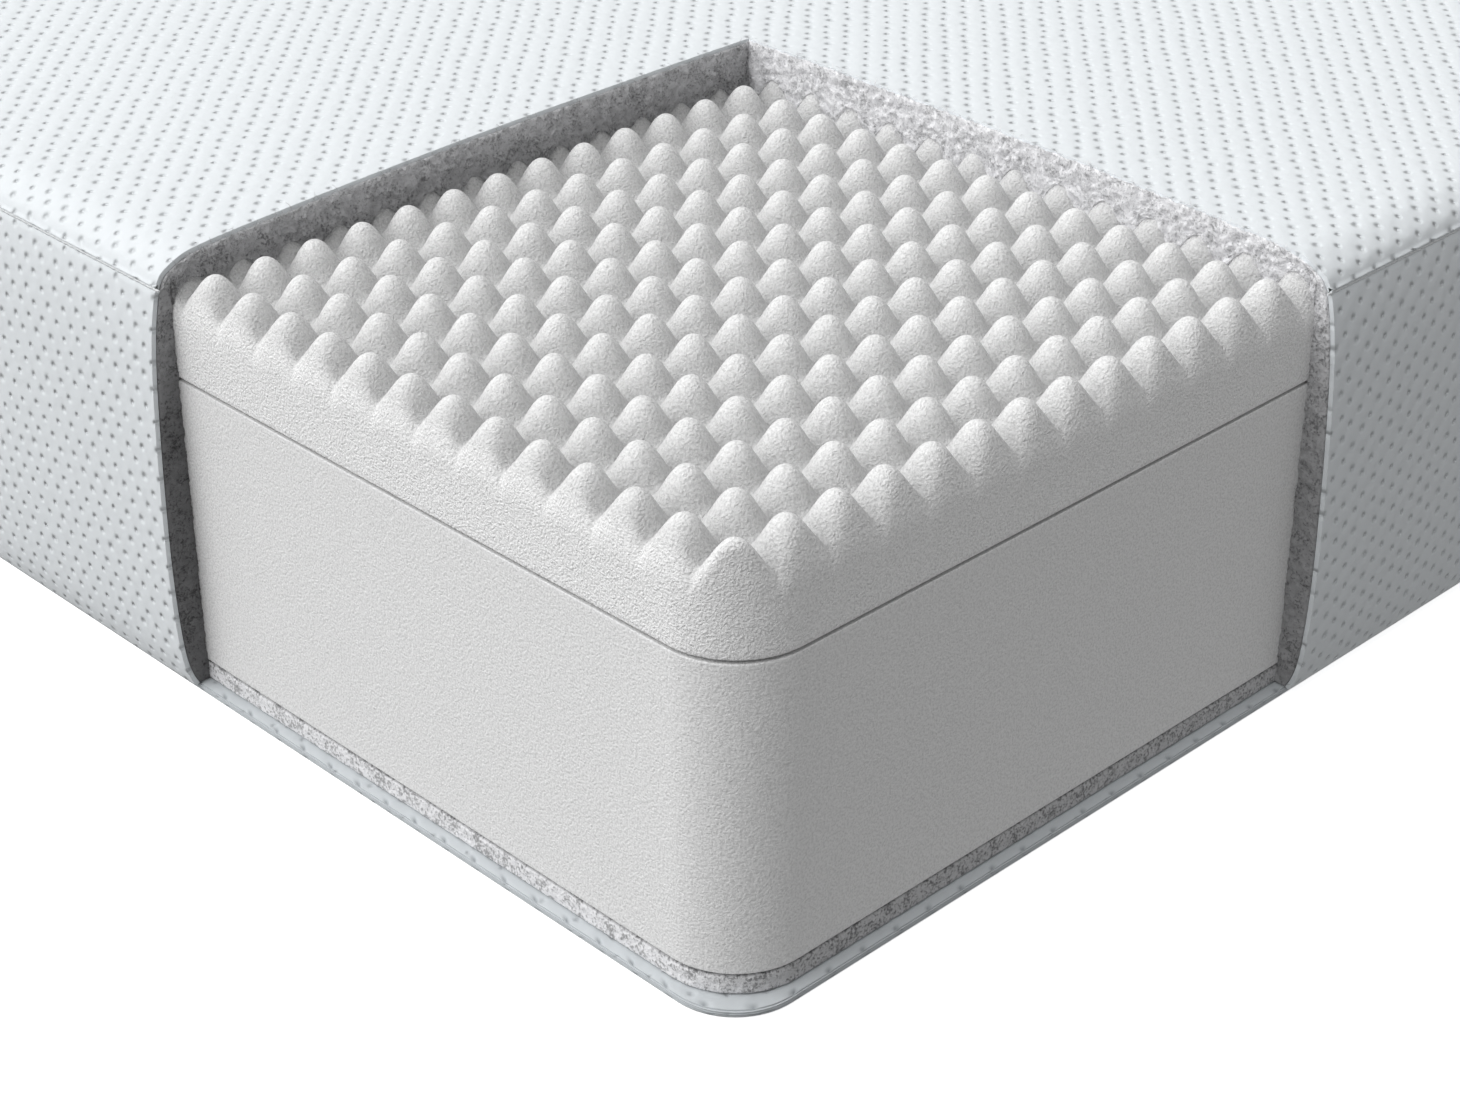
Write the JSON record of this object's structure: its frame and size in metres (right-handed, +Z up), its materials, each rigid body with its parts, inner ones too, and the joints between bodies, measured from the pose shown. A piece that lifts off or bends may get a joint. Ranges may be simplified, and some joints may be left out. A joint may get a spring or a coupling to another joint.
{
  "type": "foam mattress",
  "caption": "Foam mattress in a knitted, wadded cover, with one corner cut away to show egg-crate comfort foam on a foam core.",
  "frame": {"origin": "middle of the underside, on the surface that the mattress lies on", "axes": "+Z up, +Y along the mattress, +X across it; the cut-away corner is at low X and low Y"},
  "size_m": [0.9, 1.9, 0.2054],
  "materials": {
    "knit_ticking": "matt white knit with a slight blue cast and rows of small pinched dimples",
    "fibre_wadding": "loose grey-white fibre wadding",
    "core_foam": "fine-celled pale grey foam, matt",
    "comfort_foam": "fine-celled off-white foam, matt"
  },
  "bodies": {
    "root": {"base_ticking": "knit_ticking", "base_wadding": "fibre_wadding", "base_foam": "core_foam", "comfort_foam": "comfort_foam", "border_wadding": "fibre_wadding", "border_ticking": "knit_ticking", "top_wadding": "fibre_wadding", "top_ticking": "knit_ticking"}
  },
  "joints": []
}
